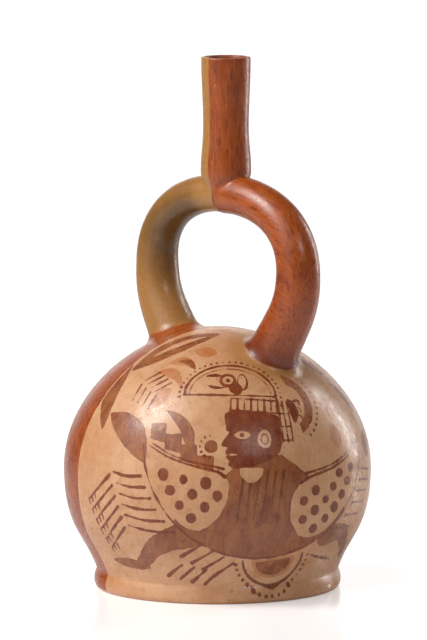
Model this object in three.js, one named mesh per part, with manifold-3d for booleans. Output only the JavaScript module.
// A stirrup spout bottle in fired clay: a globular chamber on a low ring foot, and a hollow
// stirrup handle whose two arms leave the top of the chamber and meet under one upright spout.
// It is fired as one piece, so it is one solid, and it is hollow throughout: the mouth opens into
// the spout, the spout into both arms, and both arms into the chamber.
// Millimetres, +Z up. The origin is on the floor at the chamber's axis. The stirrup stands in
// the XZ plane, a little off that axis, as the potter set it.
import * as THREE from "three";
import { mergeVertices } from "three/addons/utils/BufferGeometryUtils.js";
import Module from "manifold-3d";

const wasm = await Module();
wasm.setup();

// Ring foot
const footRadius = 66.3; // its widest, in the round of the ring
const footContactRadius = 63.8; // outer edge of the flat that touches the floor
const footContactWidth = 7;
const footHeight = 9.9; // up to the crease under the chamber
const ringSwell = 0.5; // how far the ring's round is drawn past its widest
const ringFull = [0.06, 0.62]; // heights of that swell, as shares of the foot's
const creaseRadius = 64.8;
const footRecess = 4; // how far the underside is lifted inside the ring

// Chamber
const chamberRadius = 82.4; // at its widest
const chamberWidestHeight = 64.7;
const chamberTopHeight = 139.8;
const creaseFlare = [0.39, 0.36]; // lean of the side out of the crease, as shares of the way out and up
const bellyBelow = 0.6; // how long the side stays upright under its widest
const bellyAbove = 0.532; // and over it
const domeLevel = 0.496; // how long the top stays level, as a share of the radius
const chamberWall = 5;
const chamberFloor = 6;

// Stirrup
const stirrupOffset = 6.4; // the stirrup's and the spout's middle, off the chamber's axis
const crownRise = 72.2; // from the chamber's top to the centre line of the tubes under the spout
const flankRise = 33.5; // from the chamber's top to the widest point of the stirrup
const footAngle = 32; // lean of each tube where it meets the chamber, in degrees
const crownLevel = 0.58; // how long a tube stays level under the spout, as a share of its reach
const flankAbove = 0.64; // how long it stays upright over its widest point
const flankBelow = 0.42; // and under it
const footEase = 0.45; // how early it takes up the lean of its foot
const tubeWall = 3.6;
const footTubeRadius = 14;
const redArm = { side: 1, reach: 53.8, footReach: 34.5, crownRadius: 10.6, tuckedIn: 0 };
const creamArm = { side: -1, reach: 52.2, footReach: 38.5, crownRadius: 9.9, tuckedIn: 1.5 };

// Spout
const spoutHeight = 73; // from the centre line of the tubes up to the rim
const spoutRimRadius = 13.2;
const spoutWaistRadius = 12.2;
const spoutBaseRadius = 13.5;
const spoutWaistHeight = 36; // above the centre line of the tubes
const spoutBaseHeight = 12;
const spoutEase = 0.4; // how gently the spout's outline turns at its base, waist and rim
const heelRadius = 10.4; // the rounded lower end of the spout, between the two arms
const spoutWall = 3.4;
const lipWidth = 2.2;
const lipRound = 0.9; // radius of both edges of the lip
const hubBoreRadius = 7.8; // where the spout's bore meets those of the two arms

// Facets
const chamberSides = 64;
const cavitySides = 40;
const tubeSides = 24;
const tubeSteps = 24;
const boreSides = 12;
const boreSteps = 14;
const spoutSides = 24;

const overrun = 4; // a cutter runs this far past the surface that it opens
const crownHeight = chamberTopHeight + crownRise;
const rimHeight = crownHeight + spoutHeight;

// A geometry as a solid that can be joined and cut.
function solid(geometry) {
  const bare = geometry.clone();
  bare.deleteAttribute("normal");
  bare.deleteAttribute("uv");
  const merged = mergeVertices(bare, 1e-4);
  return new wasm.Manifold(
    new wasm.Mesh({
      numProp: 3,
      vertProperties: merged.attributes.position.array,
      triVerts: new Uint32Array(merged.index.array),
    }),
  );
}

// Turns an outline of radius and height about the upright axis through x = offset.
function turned(outline, sides, offset = 0) {
  return new THREE.LatheGeometry(outline, sides).rotateX(Math.PI / 2).translate(offset, 0, 0);
}

// The points of a path, with its own number of steps for each of its curves.
function sampled(path, steps) {
  const points = path.curves.flatMap((curve, i) => curve.getPoints(steps[i]).slice(i ? 1 : 0));
  for (const point of points) if (Math.abs(point.x) < 1e-6) point.x = 0;
  return points;
}

// The chamber's side from the crease to its top, taken in by a wall where one is given.
function chamberSide(path, inset = 0) {
  const widest = chamberRadius - inset;
  const crease = creaseRadius - inset;
  const top = chamberTopHeight - inset;
  const lowerHalf = chamberWidestHeight - footHeight;
  path.bezierCurveTo(
    crease + (chamberRadius - creaseRadius) * creaseFlare[0],
    footHeight + lowerHalf * creaseFlare[1],
    widest,
    chamberWidestHeight - lowerHalf * bellyBelow,
    widest,
    chamberWidestHeight,
  );
  path.bezierCurveTo(
    widest,
    chamberWidestHeight + (top - chamberWidestHeight) * bellyAbove,
    widest * domeLevel,
    top,
    0,
    top,
  );
}

function chamber() {
  const outline = new THREE.Path();
  const innerContact = footContactRadius - footContactWidth;
  outline.moveTo(0, footRecess);
  outline.lineTo(innerContact - footRecess, footRecess);
  outline.lineTo(innerContact, 0);
  outline.lineTo(footContactRadius, 0);
  outline.bezierCurveTo(
    footRadius + ringSwell,
    footHeight * ringFull[0],
    footRadius + ringSwell,
    footHeight * ringFull[1],
    creaseRadius,
    footHeight,
  );
  chamberSide(outline);
  return turned(sampled(outline, [1, 1, 1, 4, 8, 11]), chamberSides);
}

function chamberCavity() {
  const outline = new THREE.Path();
  outline.moveTo(0, footRecess + chamberFloor);
  outline.lineTo(creaseRadius - chamberWall - footHeight, footRecess + chamberFloor);
  outline.lineTo(creaseRadius - chamberWall, Math.max(footHeight, footRecess + chamberFloor + 2));
  chamberSide(outline, chamberWall);
  return turned(sampled(outline, [1, 1, 5, 8]), cavitySides);
}

// Height of the chamber's surface at a distance from its axis.
function chamberHeightAt(radius) {
  const path = new THREE.Path();
  path.moveTo(creaseRadius, footHeight);
  chamberSide(path);
  const dome = path.curves[1];
  let low = 0;
  let high = 1;
  for (let i = 0; i < 40; i++) {
    const middle = (low + high) / 2;
    if (dome.getPoint(middle).x > radius) low = middle;
    else high = middle;
  }
  return dome.getPoint(low).y;
}

// The centre line of one arm in the XZ plane, out from under the spout and round to the chamber. It
// starts past the middle and runs straight on into the chamber by the distances given.
function armLine(arm, pastMiddle, intoChamber) {
  const flankHeight = chamberTopHeight + flankRise;
  const lean = THREE.MathUtils.degToRad(footAngle);
  const footDistance = Math.abs(arm.side * arm.footReach + stirrupOffset);
  const footTop = chamberHeightAt(footDistance);
  const line = new THREE.Path();
  line.moveTo(-pastMiddle, crownHeight);
  if (pastMiddle > 0) line.lineTo(0, crownHeight);
  line.bezierCurveTo(
    arm.reach * crownLevel,
    crownHeight,
    arm.reach,
    flankHeight + (crownHeight - flankHeight) * flankAbove,
    arm.reach,
    flankHeight,
  );
  const drop = flankHeight - footTop;
  line.bezierCurveTo(
    arm.reach,
    flankHeight - drop * flankBelow,
    arm.footReach + Math.tan(lean) * drop * footEase,
    footTop + drop * footEase,
    arm.footReach,
    footTop,
  );
  line.lineTo(
    arm.footReach - Math.sin(lean) * intoChamber,
    footTop - Math.cos(lean) * intoChamber,
  );
  return line;
}

// A round bar bent along an arm: its radius swells from the crown to the foot.
function bentTube(arm, inset, pastMiddle, intoChamber, sides, steps) {
  const line = armLine(arm, pastMiddle, intoChamber);
  const bar = new THREE.CylinderGeometry(1, 1, 1, sides, steps).translate(0, 0.5, 0);
  const place = bar.getAttribute("position");
  for (let i = 0; i < place.count; i++) {
    const along = THREE.MathUtils.clamp(place.getY(i), 0, 1);
    const centre = line.getPointAt(along);
    const tangent = line.getTangentAt(along);
    const radius =
      arm.crownRadius + (footTubeRadius - arm.crownRadius) * along * along - inset;
    const out = place.getX(i) * radius;
    place.setXYZ(
      i,
      stirrupOffset + arm.side * (centre.x + tangent.y * out),
      -arm.side * place.getZ(i) * radius,
      centre.y - tangent.x * out,
    );
  }
  return bar;
}

const rootDepth = chamberWall + overrun / 2;
const boreDepth = chamberWall + 2 * overrun;
const boreOverlap = 1.5; // how far each arm's bore runs past the middle into the other

function spout() {
  const outline = new THREE.Path();
  const base = crownHeight + spoutBaseHeight;
  const waist = crownHeight + spoutWaistHeight;
  outline.moveTo(0, crownHeight - heelRadius);
  outline.absarc(0, crownHeight, heelRadius, -Math.PI / 2, 0, false);
  outline.bezierCurveTo(
    heelRadius,
    crownHeight + spoutBaseHeight * spoutEase,
    spoutBaseRadius,
    base - spoutBaseHeight * spoutEase,
    spoutBaseRadius,
    base,
  );
  outline.bezierCurveTo(
    spoutBaseRadius,
    base + (waist - base) * spoutEase,
    spoutWaistRadius,
    waist - (waist - base) * spoutEase,
    spoutWaistRadius,
    waist,
  );
  outline.bezierCurveTo(
    spoutWaistRadius,
    waist + (rimHeight - waist) * spoutEase,
    spoutRimRadius,
    rimHeight - (rimHeight - waist) * spoutEase,
    spoutRimRadius,
    rimHeight - lipRound,
  );
  outline.absarc(spoutRimRadius - lipRound, rimHeight - lipRound, lipRound, 0, Math.PI / 2, false);
  outline.lineTo(0, rimHeight);
  outline.curves = outline.curves.filter((curve) => curve.getLength() > 1e-6);
  return turned(sampled(outline, [4, 2, 3, 4, 2, 1]), spoutSides, stirrupOffset);
}

function spoutBore() {
  const outline = new THREE.Path();
  const mouth = spoutRimRadius - lipWidth;
  const throat = spoutWaistRadius - spoutWall;
  outline.moveTo(0, crownHeight - hubBoreRadius);
  outline.absarc(0, crownHeight, hubBoreRadius, -Math.PI / 2, 0, false);
  outline.lineTo(throat, crownHeight + spoutWaistHeight);
  outline.lineTo(mouth, rimHeight - lipRound);
  outline.absarc(mouth + lipRound, rimHeight - lipRound, lipRound, Math.PI, Math.PI / 2, true);
  outline.lineTo(mouth + lipRound, rimHeight + overrun);
  outline.lineTo(0, rimHeight + overrun);
  outline.curves = outline.curves.filter((curve) => curve.getLength() > 1e-6);
  return turned(sampled(outline, [3, 1, 1, 2, 1, 1]), spoutSides, stirrupOffset);
}

function vessel() {
  const arms = [redArm, creamArm];
  const outside = arms.reduce(
    (sum, arm) => sum.add(solid(bentTube(arm, 0, arm.tuckedIn, rootDepth, tubeSides, tubeSteps))),
    solid(chamber()).add(solid(spout())),
  );
  const inside = arms.reduce(
    (sum, arm) =>
      sum.add(solid(bentTube(arm, tubeWall, boreOverlap, boreDepth, boreSides, boreSteps))),
    solid(chamberCavity()).add(solid(spoutBore())),
  );
  const clay = outside.subtract(inside);
  const cut = clay.getMesh();
  const geometry = new THREE.BufferGeometry();
  const corners = new Float32Array(cut.numVert * 3);
  for (let i = 0; i < cut.numVert; i++) {
    corners.set(cut.vertProperties.subarray(i * cut.numProp, i * cut.numProp + 3), i * 3);
  }
  geometry.setAttribute("position", new THREE.BufferAttribute(corners, 3));
  geometry.setIndex(new THREE.BufferAttribute(new Uint32Array(cut.triVerts), 1));
  geometry.computeVertexNormals();
  const slip = new THREE.MeshStandardMaterial({ color: 0xcf9f75, roughness: 0.45, metalness: 0 });
  const mesh = new THREE.Mesh(geometry, slip);
  mesh.name = "vessel";
  return mesh;
}

const bottle = new THREE.Group();
bottle.add(vessel());

export default bottle;
